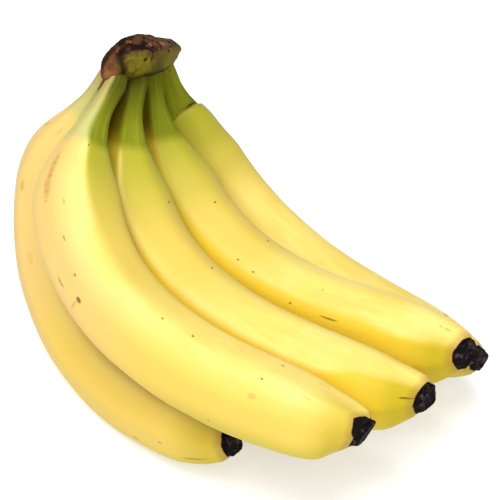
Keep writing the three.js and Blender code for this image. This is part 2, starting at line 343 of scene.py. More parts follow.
def section_share(angle, flat, crispness):
    """How far out the skin is at an angle, where five flattened faces cut a circle down."""
    reach = None
    for facing, depth in FACETS:
        towards = (angle - facing).cosine().at_least(0.0)
        cut = (towards / (flat * -depth + 1)).power(crispness)
        reach = cut if reach is None else reach + cut
    return (reach + 1).power(crispness.math("DIVIDE", -1.0).power(-1.0))


def past_fold(along, side):
    """How far past the crease of a bent neck, as a share along. The crease comes later on its sides."""
    return along - (side / 90).power(2) * FOLD_DROOP - FOLD_AT


def one_sided(angle, side):
    """1 on one side of a finger, fading to 0 on the other."""
    return ((angle - side).cosine() * 0.5 + 0.5).power(2)


def skin_radius(sizes, along, angle, swell):
    """How far the skin stands out from the middle line."""
    neck_share = sizes["Neck"] / sizes["Girth"]
    fullness = neck_share + neck_share.minus_from(1) * swell
    taper = along.ramp(sizes["Taper start"], 1, kind="LINEAR").power(sizes["Taper power"])
    shape = fullness * (taper * sizes["Tip share"].minus_from(1)).minus_from(1)
    blunt = along.ramp(BLUNT_START, 1).power(2.0) * BLUNT_SHARE
    radius = sizes["Girth"] / 2 * shape * blunt.minus_from(1)

    ends = (along / sizes["Shoulder end"]).ramp(0, 1).minus_from(1) + along.ramp(FLAT_TIP_START, 1)
    flat = sizes["Flatness"] + ends * (sizes["Flatness at the ends"] - sizes["Flatness"])
    section = section_share(angle - sizes["Ridge turn"], flat, sizes["Ridge crispness"])

    shoulder = one_sided(angle, sizes["Swelling side"])
    shoulder *= (along - sizes["Swelling at"]).bell(SWELLING_SPREAD)
    belly = one_sided(angle, sizes["Belly side"]) * (along - BELLY_AT).bell(BELLY_SPREAD)
    bulge = shoulder * sizes["Swelling rise"] + belly * sizes["Belly rise"]

    side = angle.wrapped(-180, 180)
    beyond = past_fold(along, side)
    pinch = beyond.ramp(PINCH_START, 0) * beyond.ramp(-FOLD_WIDTH / 2, PINCH_END, 1, 0) * PINCH_SHARE
    crease = (beyond.bell(FOLD_WIDTH) + pinch) * (side - FOLD_SIDE).bell(FOLD_REACH)
    return radius * SECTION_SCALE * section + bulge - crease * sizes["Fold depth"]


def skin_surface(tree, sizes, along, angle, station):
    """The place of each corner of the skin."""
    inner, flank = station("inner", "FLOAT_VECTOR"), station("flank", "FLOAT_VECTOR")
    full = station("full", "FLOAT")
    swell = along.ramp(sizes["Shoulder start"], sizes["Shoulder end"])
    radius = skin_radius(sizes, along, angle, swell)

    def off_middle(toward, distance):
        """A step away from the middle line."""
        inward = vectors("SCALE", inner, toward.cosine() * distance)
        return vectors("ADD", inward, vectors("SCALE", flank, toward.sine() * distance))

    outward = vectors("SCALE", off_middle(angle, radius), full)
    short_side = (angle - sizes["Tip facing"]).cosine() * radius * full
    set_back = short_side * along.ramp(TIP_SLANT_START, 1) * sizes["Tip slant"] * -1
    slanted = vectors("SCALE", vectors("CROSS_PRODUCT", inner, flank), set_back)
    aside = off_middle(sizes["Neck aside angle"], swell.minus_from(1) * sizes["Neck aside"])
    middle = vectors("ADD", station("position", "FLOAT_VECTOR"), aside)
    surface = vectors("ADD", vectors("ADD", middle, outward), slanted)

    lumps = tree.nodes.new("ShaderNodeTexNoise")
    fill(lumps, {"Scale": sizes["Lumps in a metre"], "Detail": LUMP_DETAIL, "Vector": surface})
    uneven = (Wire(tree, lumps.outputs[0]) - 0.5) * 2 * sizes["Unevenness"] * swell * full
    bumps = vectors("SCALE", vectors("NORMALIZE", outward), uneven)
    x, y, z = apart(vectors("ADD", surface, bumps))

    # The bunch's weight presses the outer two fingers' backs flat where they lie on the ground.
    return combined(x, y, z.at_least(0.0))


def skin_inputs(tree):
    """Gives the tree its named inputs and its output."""

    def socket(name, kind, way="INPUT"):
        """A new input, or output, of the tree."""
        return tree.interface.new_socket(name=name, in_out=way, socket_type="NodeSocket" + kind)

    socket("Stations", "Geometry")
    for name, size in SKIN_SIZES.items():
        socket(name, "Float").default_value = size
    socket("Sides", "Int").default_value = FINGER_SIDES
    socket("Peel", "Material")
    socket("Skin", "Geometry", "OUTPUT")
    return tree.nodes.new("NodeGroupInput")


def after(before, kind, socket="Geometry"):
    """A new node that works on the mesh that another gives."""
    tree = before.id_data
    node = tree.nodes.new(kind)
    tree.links.new(before.outputs[0], node.inputs[socket])
    return node


def finger_tree():
    """Wraps a skin round the stations of a finger's middle line."""
    tree = bpy.data.node_groups.new("finger skin", "GeometryNodeTree")
    given = skin_inputs(tree)
    sizes = {name: Wire(tree, given.outputs[name]) for name in [*SKIN_SIZES, "Sides"]}

    count = tree.nodes.new("GeometryNodeAttributeDomainSize")
    tree.links.new(given.outputs["Stations"], count.inputs[0])
    stations = Wire(tree, count.outputs["Point Count"])
    grid = tree.nodes.new("GeometryNodeMeshGrid")
    fill(grid, {"Size X": 1, "Size Y": 1, "Vertices X": stations, "Vertices Y": sizes["Sides"] + 1})
    lengthwise, around, _ = apart(Wire(tree, grid.outputs["UV Map"]))
    row = (lengthwise * (stations - 1)).math("ROUND")

    def station(name, kind):
        """A station's attribute, read for each corner of the skin."""
        sample = tree.nodes.new("GeometryNodeSampleIndex")
        sample.data_type = kind
        tree.links.new(given.outputs["Stations"], sample.inputs["Geometry"])
        plug(row, sample.inputs["Index"])
        if name == "position":
            read = tree.nodes.new("GeometryNodeInputPosition")
        else:
            read = tree.nodes.new("GeometryNodeInputNamedAttribute")
            read.data_type = kind
            read.inputs["Name"].default_value = name
        tree.links.new(read.outputs[0], sample.inputs["Value"])
        return Wire(tree, sample.outputs[0])

    along = station("along", "FLOAT")
    store = after(grid, "GeometryNodeStoreNamedAttribute")
    store.data_type = "FLOAT2"
    store.domain = "CORNER"
    fill(store, {"Name": "chart", "Value": combined(along, around)})
    wrap = after(store, "GeometryNodeSetPosition")
    plug(skin_surface(tree, sizes, along, around * 360, station), wrap.inputs["Position"])
    weld = after(wrap, "GeometryNodeMergeByDistance")
    weld.inputs["Distance"].default_value = WELD_WITHIN
    outside = after(weld, "GeometryNodeFlipFaces", "Mesh")
    smooth = after(outside, "GeometryNodeSetShadeSmooth")
    real = after(smooth, "GeometryNodeRealizeInstances")
    finish = after(real, "GeometryNodeSetMaterial")
    tree.links.new(given.outputs["Peel"], finish.inputs["Material"])
    after(finish, "NodeGroupOutput", "Skin")
    return tree


def grown(name, start, tree, sizes):
    """Runs a node tree on a starting mesh and keeps the plain mesh that it makes."""
    seedling = placed(name + "_start", start)
    modifier = seedling.modifiers.new("grow", "NODES")
    modifier.node_group = tree
    for item in tree.interface.items_tree:
        if item.in_out == "INPUT" and item.name in sizes:
            modifier[item.identifier] = sizes[item.name]
    shaped = seedling.evaluated_get(bpy.context.evaluated_depsgraph_get())
    mesh = bpy.data.meshes.new_from_object(shaped)
    bpy.data.objects.remove(seedling)
    mesh.name = name
    return placed(name, mesh)


# A peel's colours, finger by finger, by the same shares and sides as its shape.
#   ridge: side where the hollow face ends, on a ridge
#   hollow_to: place where the hollow face's deeper yellow ends
#   cream_side: side that the creamy back, partly painted sheen, looks to
#   shade_next: strength of painted shade and bounce light on the face turned to the next finger
#   shade_from: side where painted shade on the face turned to the finger before begins, or 0 for none
#   shade_at_tip: the same, by the tip
#   green: place where the neck's green gives way to yellow
#   pale: whether the neck is pale past its hollow face, partly painted sheen, not given painted shade
#   root_shade: how strongly painted shade browns the neck under the crown
#   tip_green: how green the side of the tip is
#   scorched: how far the tip's black runs up one corner, in millimetres
PEELS = (
    dict(ridge=20, hollow_to=0.7, cream_side=118, shade_next=0, shade_from=0, shade_at_tip=0,
        green=0.11, pale=True, root_shade=0.7, tip_green=0.6, scorched=0),
    dict(ridge=68, hollow_to=0.7, cream_side=145, shade_next=0.5, shade_from=0, shade_at_tip=0,
        green=0.142, pale=True, root_shade=0.7, tip_green=0.6, scorched=4.1),
    dict(ridge=68, hollow_to=0.7, cream_side=150, shade_next=0.5, shade_from=67, shade_at_tip=50,
        green=0.135, pale=False, root_shade=0.65, tip_green=0.85, scorched=0),
    dict(ridge=54, hollow_to=0.7, cream_side=150, shade_next=0.25, shade_from=44, shade_at_tip=52,
        green=0.135, pale=False, root_shade=0.3, tip_green=0.8, scorched=0),
    dict(ridge=75, hollow_to=0.5, cream_side=150, shade_next=0, shade_from=60, shade_at_tip=68,
        green=0.112, pale=False, root_shade=0.0, tip_green=0.5, scorched=0,
    ),
)
YELLOW = (0.71, 0.565, 0.14)
WARM_YELLOW = (0.70, 0.51, 0.115)
PALE_YELLOW = (0.72, 0.62, 0.22)
# The creamy back is partly its own paler tone and partly painted sheen.
BACK_CREAM_AND_SHEEN = (0.65, 0.45, 0.145)
BELLY_GOLD = (0.65, 0.455, 0.085)
BELLY_GREEN = (0.46, 0.39, 0.055)
HOLLOW_YELLOW = (0.59, 0.44, 0.08)
# The next two are painted shade with warm bounce light, for faces turned to a neighbour.
SHADED_ORANGE = (0.60, 0.40, 0.015)
SHADED_OLIVE = (0.36, 0.26, 0.006)
# Painted shade on the underside.
UNDERSIDE_SHADE = (0.38, 0.26, 0.04)
NECK_GREEN = (0.175, 0.190, 0.009)
NECK_LIGHT = (0.225, 0.24, 0.022)
# Partly painted sheen on the backs of the pale necks.
NECK_PALE_AND_SHEEN = (0.335, 0.40, 0.16)
# Next two: painted shade in the gaps between necks, browned by bounce light, darkest by the crown.
NECK_GAP_BOUNCE = (0.36, 0.26, 0.01)
NECK_GAP_SHADE = (0.05, 0.036, 0.001)
OLIVE = (0.33, 0.315, 0.018)
TIP_GREEN = (0.40, 0.31, 0.006)
# Painted shade under the crown, on the necks' roots.
ROOT_SHADE_BROWN = (0.012, 0.006, 0.005)
FOLD_BROWN = (0.05, 0.025, 0.004)
SPECK_BROWN = (0.14, 0.085, 0.014)
RIM_BROWN = (0.30, 0.15, 0.04)
RIM_BLACK = (0.007, 0.004, 0.004)
SCUFF_TAN = (0.45, 0.21, 0.05)
PEEL_ROUGHNESS = 0.5
PEEL_SHINE = 0.12
PORES_RELIEF = (0.5, 0.0002)  # strength, and depth in metres
# The peel's patterns, in clouds to a metre, and how far they shift an edge along it.
EDGE_CLOUDS = 60
EDGE_WANDER = 0.014
FOLD_WANDER = 0.1  # share of that at the crease
PALE_CLOUDS = 34
PALE_SEED = 20
RIM_CLOUDS = 350
RIM_WANDER = 0.004
FRAY_CLOUDS = 1300
FRAY = 2.4
PORES = 900
STREAK_ALONG = 5
STREAK_ACROSS = 2.4
STREAKS = 2.2
# Stretches of the finger where one thing gives way to another, as shares of its length.
ROOT = (0, 0.05)
SHOULDER = (0.10, 0.16)
RIDGE_SOFTENS = (0.2, 0.5)
BACK_GILDS = (0.4, 0.65)
SHADE_WARMS = (0.2, 0.45)
TIP_NARROWS = (0.8, 0.9)
ROOT_CLEARS = (-0.02, 0.11)
GAP_CLEARS = (0.09, 0.16)
BELLY_GREENS = (0.55, 0.78)
TIP_GREENS = (0.89, 0.975)
RIM_BROWNS = (0.982, 0.998)
RIM_BLACKENS = (0.9975, 0.999)
OLIVE_BEFORE = 0.02
OLIVE_BEYOND = 0.27
HOLLOW_FADES = 0.25
STEP_SOFT = 0.015
FOLD_STEP_SOFT = 0.0025
FOLD_LINE_WIDTH = 0.0022
# Faces of the finger: the side that each looks to, and the cosines between which it fades in.
NEXT_FACE = (-80, 0.3, 0.85)
UNDER_FACE = (230, 0.45, 0.95)
GAP_FACE = (100, -0.2, 0.5)
BELLY_FACE = (190, 0.6, 0.97)
TIP_FACE = (110, 0.1, 0.75)
CREAM_FADE = (0.35, 0.85)
# Edges round the finger, in degrees.
ROOT_RIDGE_TURN = 12
NECK_RIDGE_TURN = 14
NECK_RIDGE_WIDTH = 14
SHOULDER_RIDGE_WIDTH = 5
BODY_RIDGE_WIDTH = 25
HOLLOW_END = -100
HOLLOW_END_SOFT = 20
NEIGHBOUR_SHADE_EDGE = 15
NEIGHBOUR_SHADE_END = (150, 175)
FOLD_LINE_SIDE = 10
FOLD_LINE_FADE = (-25, 30)
SCORCH_CORNER = 75
SCORCH_WIDE = 56
# What part of a pattern shows.
WARM_STREAKS = (0.4, 0.62)
LIGHT_STREAKS = (0.40, 0.75)
PALE_PATCHES = (0.42, 0.66)
MARK_EDGE = (0.4, 1.6)
# How strongly a tint covers what is under it.
PALE_COVER = 0.6
HOLLOW_LEFT = 0.15
SHADE_COVER = 0.9
UNDER_COVER = 0.8
OLIVE_COVER = 0.95
OLIVE_ALL_ROUND = 0.1
BELLY_COVER = 0.8
FOLD_LINE_LEFT = 0.25
RIM_BROWN_COVER = 0.5
RIM_DULLS = 0.6
# The yellow that a pale neck and one darkened by painted shade keep past the hollow face.
PALE_NECK_YELLOW = 0.4
SHADED_NECK_YELLOW = 0.08
# Fine flecks: cells to a metre, the random number above which a cell holds one, its edge and darkness.
FLECK_CELLS = 95
FLECKED = (0.94, 0.95)
FLECK_EDGE = (0.035, 0.075)
FLECK_COVER = 0.75
# A mark fainter than the first and as long as the second is a tan scuff.
SCUFF_FAINT = 0.6
SCUFF_LONG = 3
# Each finger's spots and scuffs: place along it, side, length and width in millimetres, and how dark.
MARKS = {
    1: (
        (0.159, 138, 2.0, 1.2, 0.9), (0.148, 84, 4.0, 2.0, 0.35), (0.275, 101, 5.0, 2.4, 0.42),
        (0.418, 89, 6.0, 3.0, 0.2), (0.825, 144, 2.4, 1.2, 0.6), (0.888, 125, 2.0, 1.0, 0.6),
        (0.951, 147, 9.0, 0.8, 0.8), (0.018, 53, 9.0, 6.0, 0.95),
    ),
    2: (
        (0.200, 124, 11.0, 4.4, 0.42), (0.240, 127, 11.0, 4.6, 0.42), (0.186, 123, 1.0, 3.0, 0.5),
        (0.198, 124, 1.1, 3.6, 0.55), (0.212, 126, 1.0, 3.4, 0.5), (0.224, 125, 1.2, 3.8, 0.55),
        (0.238, 128, 1.0, 3.2, 0.5), (0.251, 127, 1.1, 3.4, 0.5), (0.268, 129, 1.0, 3.0, 0.45),
        (0.016, 163, 9.0, 6.0, 0.95), (0.152, 69, 1.6, 1.0, 0.9), (0.279, 100, 2.2, 0.9, 0.4),
        (0.345, 111, 2.4, 0.8, 0.6), (0.412, 119, 1.4, 1.2, 0.7), (0.402, 149, 4.5, 0.8, 0.7),
        (0.447, 137, 2.6, 2.0, 0.9), (0.445, 149, 1.0, 6.0, 0.45), (0.653, 65, 1.3, 1.0, 0.9),
        (0.809, 76, 1.4, 0.9, 0.8), (0.828, 33, 1.8, 1.0, 0.7), (0.806, 102, 3.5, 2.4, 0.4),
        (0.915, 27, 6.0, 0.8, 0.45), (0.895, 77, 5.0, 0.8, 0.35),
    ),
    3: (
        (0.277, 2, 1.6, 1.3, 0.9), (0.487, 11, 1.5, 1.0, 0.8), (0.987, 87, 5.5, 1.7, 1.0),
    ),
    4: (
        (0.332, 10, 1.5, 1.0, 0.8), (0.485, 46, 1.9, 0.9, 0.8), (0.532, 48, 1.6, 1.0, 0.7),
        (0.496, 350, 1.6, 1.0, 0.9), (0.740, 63, 9.0, 0.9, 0.75), (0.646, 62, 1.6, 1.0, 0.7),
        (0.971, 15, 3.0, 0.9, 0.6), (0.957, 16, 2.0, 0.8, 0.5),
    ),
    5: (
        (0.846, 317, 1.8, 1.2, 0.7), (0.915, 327, 2.4, 1.2, 0.7),
    ),
}


def own_place(tree):
    """The place of a point on its piece."""
    return Wire(tree, tree.nodes.new("ShaderNodeTexCoord").outputs["Object"])


def mixed(share, first, second):
    """A colour between two, by a share from 0 to 1."""
    node = share.tree.nodes.new("ShaderNodeMix")
    node.data_type = "RGBA"
    plug(share, node.inputs["Factor"])
    for value, socket in ((first, node.inputs[6]), (second, node.inputs[7])):
        plug(value if isinstance(value, Wire) else (*value, 1), socket)
    return Wire(share.tree, node.outputs[2])


def cloud(place, scale, detail=2.0, seed=0.0):
    """A soft random pattern, about 0.5 on the whole."""
    node = place.tree.nodes.new("ShaderNodeTexNoise")
    node.noise_dimensions = "4D"
    fill(node, {"W": seed, "Scale": scale, "Detail": detail, "Vector": place})
    return Wire(place.tree, node.outputs[0])


def roughened(height, strength, depth):
    """Gives a material fine relief by a height."""
    tree = height.tree
    bump = tree.nodes.new("ShaderNodeBump")
    fill(bump, {"Strength": strength, "Distance": depth, "Height": height})
    tree.links.new(bump.outputs[0], tree.nodes["Principled BSDF"].inputs["Normal"])


class Peel:
    """The wires that a finger's colour is painted by."""

    def __init__(self, tree, number, ridge):
        self.tree, self.number = tree, number
        chart = tree.nodes.new("ShaderNodeUVMap")
        chart.uv_map = "chart"
        self.along, around, _ = apart(Wire(tree, chart.outputs[0]))
        self.angle = around * 360
        self.side = self.angle.wrapped(-180, 180)
        self.here = own_place(tree)
        across = (self.angle.cosine() * STREAK_ACROSS, self.angle.sine() * STREAK_ACROSS)
        drawn_out = combined(self.along * STREAK_ALONG, *across)
        self.streaks = cloud(drawn_out, STREAKS, detail=4, seed=number)
        self.uneven = self.mottle(EDGE_CLOUDS).wander(EDGE_WANDER)
        self.ragged_along = self.along + self.uneven

        # 1 on the hollow face, which ends on a ridge that is sharpest at the shoulder.
        edge = self.along.ramp(*ROOT, ROOT_RIDGE_TURN, 0)
        edge += self.along.ramp(*SHOULDER, ridge + NECK_RIDGE_TURN, ridge)
        width = self.along.ramp(*SHOULDER, NECK_RIDGE_WIDTH, SHOULDER_RIDGE_WIDTH)
        width += self.along.ramp(*RIDGE_SOFTENS, 0, BODY_RIDGE_WIDTH)
        far_end = (self.side - HOLLOW_END).ramp(-HOLLOW_END_SOFT, HOLLOW_END_SOFT)
        self.hollow = ((edge - self.side) / width).ramp(-1, 1) * far_end

    def mottle(self, scale, detail=3, more_seed=0):
        """A soft random pattern in the peel, which differs from finger to finger."""
        return cloud(self.here, scale, detail, self.number + more_seed)

    def facing(self, toward, low, high):
        """1 on the side that looks to an angle, fading to 0 away from it."""
        return (self.angle - toward).cosine().ramp(low, high)


def yellow_faces(peel, tints):
    """Not one yellow: a creamy back, partly painted sheen, and painted shade by neighbours and below."""
    along, side = peel.along, peel.side
    colour = mixed(peel.streaks.ramp(*WARM_STREAKS), YELLOW, WARM_YELLOW)
    pale = peel.mottle(PALE_CLOUDS, more_seed=PALE_SEED).ramp(*PALE_PATCHES) * PALE_COVER
    colour = mixed(pale, colour, PALE_YELLOW)
    # The creamy back is partly its own paler tone and partly painted sheen.
    back = mixed(along.ramp(*BACK_GILDS), BACK_CREAM_AND_SHEEN, BELLY_GOLD)
    colour = mixed(peel.facing(tints["cream_side"], *CREAM_FADE), colour, back)
    deep = along.ramp(tints["hollow_to"] - HOLLOW_FADES, tints["hollow_to"], 1, HOLLOW_LEFT)
    colour = mixed(peel.hollow * deep, colour, HOLLOW_YELLOW)
    # Painted shade, warmed by bounce light, on the faces turned to the next finger and to the one before.
    neighbour_shade = peel.facing(*NEXT_FACE) * tints["shade_next"]
    if tints["shade_from"]:
        past_edge = side - along.ramp(*TIP_NARROWS, tints["shade_from"], tints["shade_at_tip"])
        neighbour_shade = neighbour_shade.at_least(past_edge.ramp(0, NEIGHBOUR_SHADE_EDGE) * side.ramp(*NEIGHBOUR_SHADE_END, 1, 0))
    shaded = mixed(along.ramp(*SHADE_WARMS), SHADED_OLIVE, SHADED_ORANGE)
    colour = mixed(neighbour_shade * SHADE_COVER, colour, shaded)
    # Painted shade darkens the underside.
    return mixed(peel.facing(*UNDER_FACE) * UNDER_COVER, colour, UNDERSIDE_SHADE)


def green_neck(peel, tints, folded, colour):
    """Greens the neck: in a step at first, and then fading out along the hollow side."""
    along, hollow = peel.along, peel.hollow
    if folded:
        past_step = past_fold(along + peel.uneven * FOLD_WANDER, peel.side)
        step_soft = FOLD_STEP_SOFT
    else:
        past_step = peel.ragged_along - tints["green"]
        step_soft = STEP_SOFT
    fade = peel.ragged_along.ramp(tints["green"] - OLIVE_BEFORE, tints["green"] + OLIVE_BEYOND, 1, 0)
    olive = fade * (hollow * (1 - OLIVE_ALL_ROUND) + OLIVE_ALL_ROUND) * OLIVE_COVER
    colour = mixed(olive, colour, OLIVE)

    # The face that looks into the gap to the finger before gets painted shade, browned by bounce light.
    dark = mixed(along.ramp(*GAP_CLEARS), NECK_GAP_SHADE, NECK_GAP_BOUNCE)
    dark = mixed(peel.facing(*GAP_FACE), NECK_GREEN, dark)
    green = mixed(peel.streaks.ramp(*LIGHT_STREAKS), NECK_GREEN, NECK_LIGHT)
    # A pale neck's back is partly painted sheen; the others get the painted shade of the gap.
    neck = mixed(hollow, NECK_PALE_AND_SHEEN if tints["pale"] else dark, green)
    # Painted shade under the crown browns the neck's root.
    neck = mixed(along.ramp(*ROOT_CLEARS, tints["root_shade"], 0), neck, ROOT_SHADE_BROWN)
    step = past_step.ramp(-step_soft, step_soft, 1, 0)
    yellow_left = PALE_NECK_YELLOW if tints["pale"] else SHADED_NECK_YELLOW
    colour = mixed(step * (hollow * yellow_left + (1 - yellow_left)), colour, neck)
    if folded:
        line_side = (peel.side - FOLD_LINE_SIDE).ramp(*FOLD_LINE_FADE, 1, FOLD_LINE_LEFT)
        colour = mixed(past_step.bell(FOLD_LINE_WIDTH) * line_side, colour, FOLD_BROWN)
    return colour, step


def green_tip(peel, tints, colour):
    """Greens the belly and the side of the tip a little."""
    belly = peel.ragged_along.ramp(*BELLY_GREENS) * peel.facing(*BELLY_FACE) * BELLY_COVER
    tip = peel.ragged_along.ramp(*TIP_GREENS) * peel.facing(*TIP_FACE) * tints["tip_green"]
    return mixed(tip, mixed(belly, colour, BELLY_GREEN), TIP_GREEN)


def speckled(peel, finger, colour):
    """Adds fine flecks at random, and then the finger's own spots and scuffs with frayed edges."""
    tree = peel.tree
    flecks = tree.nodes.new("ShaderNodeTexVoronoi")
    fill(flecks, {"Scale": FLECK_CELLS, "Vector": peel.here})
    lottery = tree.nodes.new("ShaderNodeSeparateColor")
    tree.links.new(flecks.outputs["Color"], lottery.inputs[0])
    drawn = Wire(tree, lottery.outputs[0]).ramp(*FLECKED, kind="LINEAR")
    dot = Wire(tree, flecks.outputs["Distance"]).ramp(*FLECK_EDGE, 1, 0)
    colour = mixed(dot * drawn * FLECK_COVER, colour, SPECK_BROWN)
    frayed = peel.mottle(FRAY_CLOUDS, detail=4).wander(FRAY)
    for at, side, long, wide, dark in MARKS[peel.number]:
        off_along = (peel.along - at) * (finger["length"] / long * 2)
        off_side = (peel.angle - side) * (math.radians(1) * finger["girth"] / wide)
        blot = (off_along.power(2) + off_side.power(2) + frayed).ramp(*MARK_EDGE, 1, 0)
        scuff = dark < SCUFF_FAINT and max(long, wide) >= SCUFF_LONG
        colour = mixed(blot * dark, colour, SCUFF_TAN if scuff else SPECK_BROWN)
    return colour


def black_rim(peel, finger, tints, colour):
    """Blackens the end of the tip, behind a thin brown line."""
    ragged = peel.mottle(RIM_CLOUDS).wander(RIM_WANDER)
    off_corner = (peel.angle - SCORCH_CORNER).math("ABSOLUTE")
    corner = (off_corner / -SCORCH_WIDE + 1).at_least(0.0)
    reach = corner * (tints["scorched"] / finger["length"])
    brown = (peel.along + ragged * 2 + reach).ramp(*RIM_BROWNS) * RIM_BROWN_COVER
    rim = (peel.along + ragged + reach).ramp(*RIM_BLACKENS)
    return mixed(rim, mixed(brown, colour, RIM_BROWN), RIM_BLACK), rim


def peel_material(number, finger, tints):
    """A finger's waxy peel. It shines a little, but not on the green neck."""
    material, shader = new_finish(f"peel_{number}")
    peel = Peel(material.node_tree, number, tints["ridge"])
    colour, step = green_neck(peel, tints, finger["fold"] > 0, yellow_faces(peel, tints))
    colour = speckled(peel, finger, green_tip(peel, tints, colour))
    colour, rim = black_rim(peel, finger, tints, colour)
    shine = (step.minus_from(1) - rim * RIM_DULLS).at_least(0.0) * PEEL_SHINE
    fill(shader, {"Base Color": colour, "Specular IOR Level": shine, "Roughness": PEEL_ROUGHNESS})
    roughened(peel.mottle(PORES), *PORES_RELIEF)
    return material


def finger_sizes(finger):
    """The inputs that make the skin's tree grow one finger."""
    at, side, swell = finger["swelling"]
    aside_angle, aside = finger["neck_aside"]
    belly_side, belly = finger["belly"]
    facing, slant = finger["tip"]
    return {
        "Girth": finger["girth"] * MM, "Neck": finger["neck"] * MM, "Ridge turn": float(finger["turn"]),
        "Swelling at": at, "Swelling side": float(side), "Swelling rise": swell * MM,
        "Belly side": float(belly_side), "Belly rise": belly * MM,
        "Neck aside": aside * MM, "Neck aside angle": float(aside_angle),
        "Tip slant": math.tan(math.radians(slant)), "Tip facing": float(facing),
        "Fold depth": finger["fold"] * MM,
    }


skin_tree = finger_tree()
for number, (finger, tints) in enumerate(zip(FINGERS, PEELS), 1):
    start = line_mesh(f"finger_{number}_line", middle_line(finger))
    sizes = {**finger_sizes(finger), "Peel": peel_material(number, finger, tints)}
    skin = grown(f"banana_{number}", start, skin_tree, sizes)
    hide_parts(f"finger_{number}")
    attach(skin, "root")

# ---- Dried flower ends ----
# What is left of each flower is a hard black stub, the finger's own five-sided end dried up. It sits
# flush on the tip and is cracked, sunk a little in its middle, and set square or slanting to the finger.

# The stub's rings: height above the tip in millimetres, and share of the tip's width.
STUB_PROFILE = (
    (-0.9, 0), (-0.9, 0.5), (-0.8, 0.88), (-0.5, 1.0), (0, 1.02), (0.7, 1.01), (1.4, 0.99), (1.9, 0.96),
    (2.2, 0.91), (2.4, 0.83), (2.3, 0.72), (2.0, 0.6), (1.8, 0.48), (1.7, 0.36), (1.7, 0.24), (1.7, 0.1),
    (1.7, 0),
)
STUB_SHAPE = {
    "Unevenness": 0.0008, "Lumps in a metre": 480.0, "Flatness at the ends": 2.3, "Ridge crispness": 50.0,
}
STUB_BLACK = (0.003, 0.002, 0.0025)
STUB_GREY = (0.075, 0.045, 0.042)
STUB_CLOUDS = 420
STUB_PATCHES = (0.5, 0.68)
STUB_PATCH_COVER = 0.7
STUB_ROUGHNESS = 0.6
STUB_SHINE = 0.05
STUB_CRACKS = 700
CRACKS_RELIEF = (0.9, 0.0006)


def stub_material():
    """Dried black tissue with patches of dull grey-brown."""
    material, shader = new_finish("dried_flower")
    here = own_place(material.node_tree)
    patches = cloud(here, STUB_CLOUDS, detail=5, seed=3).ramp(*STUB_PATCHES) * STUB_PATCH_COVER
    colour = mixed(patches, STUB_BLACK, STUB_GREY)
    fill(shader, {"Base Color": colour, "Roughness": STUB_ROUGHNESS, "Specular IOR Level": STUB_SHINE})
    roughened(cloud(here, STUB_CRACKS, detail=5, seed=5), *CRACKS_RELIEF)
    return material


dried = stub_material()
for number, finger in enumerate(FINGERS, 1):
    tip = middle_line(finger)[-1 - len(TIP_CLOSING)]
    ahead = tip[3].cross(tip[4])
    line = [[tip[0] + ahead * depth, 1, share, *tip[3:]] for depth, share in STUB_PROFILE]
    start = line_mesh(f"stub_{number}_line", line)
    sizes = {**finger_sizes(finger), **STUB_SHAPE, "Peel": dried}
    stub = grown(f"flower_end_{number}", start, skin_tree, sizes)
    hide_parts(f"blossom_end_{number}")
    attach(stub, "root")

# ---- Crown ----
# The woody cushion that the five necks grow from. Its face is a knobbly olive rind that hangs a little
# over the necks, and the knife left it a rough dark cut on top and a tan scar on the left end.

# Each station of its line has its place and its reach up, down, forward and back, in millimetres.
CROWN_LINE = (
    ((-67.9, 47.6, 110.5), 1.4, 1.6, 2.2, 2.0),
    ((-66.4, 48.2, 112.7), 3.0, 4.6, 4.6, 3.7),
    ((-64.0, 50.6, 115.3), 4.7, 6.6, 7.0, 5.0),
    ((-60.3, 53.9, 115.9), 6.6, 7.6, 8.4, 6.6),
    ((-55.9, 59.0, 114.1), 8.1, 8.1, 8.7, 8.7),
    ((-51.7, 65.5, 110.8), 7.8, 7.8, 9.4, 9.4),
    ((-47.9, 73.5, 106.3), 6.5, 6.5, 8.2, 8.2),
    ((-44.6, 80.8, 102.5), 5.0, 5.0, 6.1, 6.1),
    ((-42.1, 85.4, 100.1), 3.6, 3.6, 4.1, 4.1),
    ((-40.1, 88.1, 98.6), 1.8, 1.8, 2.4, 2.4),
)
CUT_AT = Vector((-54.1, 65.9, 118.5))
CUT_FACING = Vector((0.2, 0.28, 0.94)).normalized()
CROWN_LENGTH = 58
CROWN_MM_A_DEGREE = 0.14  # how long a degree is on the crown's face
CROWN_SQUARENESS = 2.8
COURSE_STEP = 0.01
# A slow wave in the crown's width: its height as a share, and its waves round and radians along it.
WAVE = (0.03, 4, 17)
# Lumps: how fine, how high in millimetres, and how far their pattern is moved.
RIND_LUMPS = ((0.25, 0.4, (0, 0, 0)), (0.6, 0.25, (9, 0, 0)), (1.3, 0.07, (0, 0, 0)))
CUT_LUMPS = ((0.35, 0.6, (0, 7, 0)), (1.2, 0.4, (0, 0, 0)))
# Fibres that stand up in the cut: how fine, how high, and the level they are taken at.
FIBRES = (2.4, 0.3, 3)
CROWN_STEPS = 220
CROWN_SIDES = 260
# Holes in the face: share along the line, angle round it, radius and depth in millimetres.
CROWN_HOLES = ((0.407, 160, 0.85, 1.8), (0.579, 152, 0.5, 0.9), (0.082, 114, 0.6, 1.0))
RIND_OLIVE = (0.075, 0.062, 0.009)
RIND_YELLOW = (0.15, 0.122, 0.010)
RIND_TAN = (0.19, 0.15, 0.024)
# Painted shade where the rind turns under.
RIND_UNDER_SHADE = (0.035, 0.03, 0.006)
# The cut's own near-black, also painted as shade in the holes and the crease.
DARK_CUT_AND_SHADE = (0.013, 0.005, 0.003)
CUT_BROWN = (0.078, 0.033, 0.018)
CUT_MAUVE = (0.125, 0.06, 0.03)
CUT_TAN = (0.22, 0.095, 0.035)
SCAR_TAN = (0.19, 0.078, 0.03)
SCAR_RED = (0.10, 0.036, 0.014)
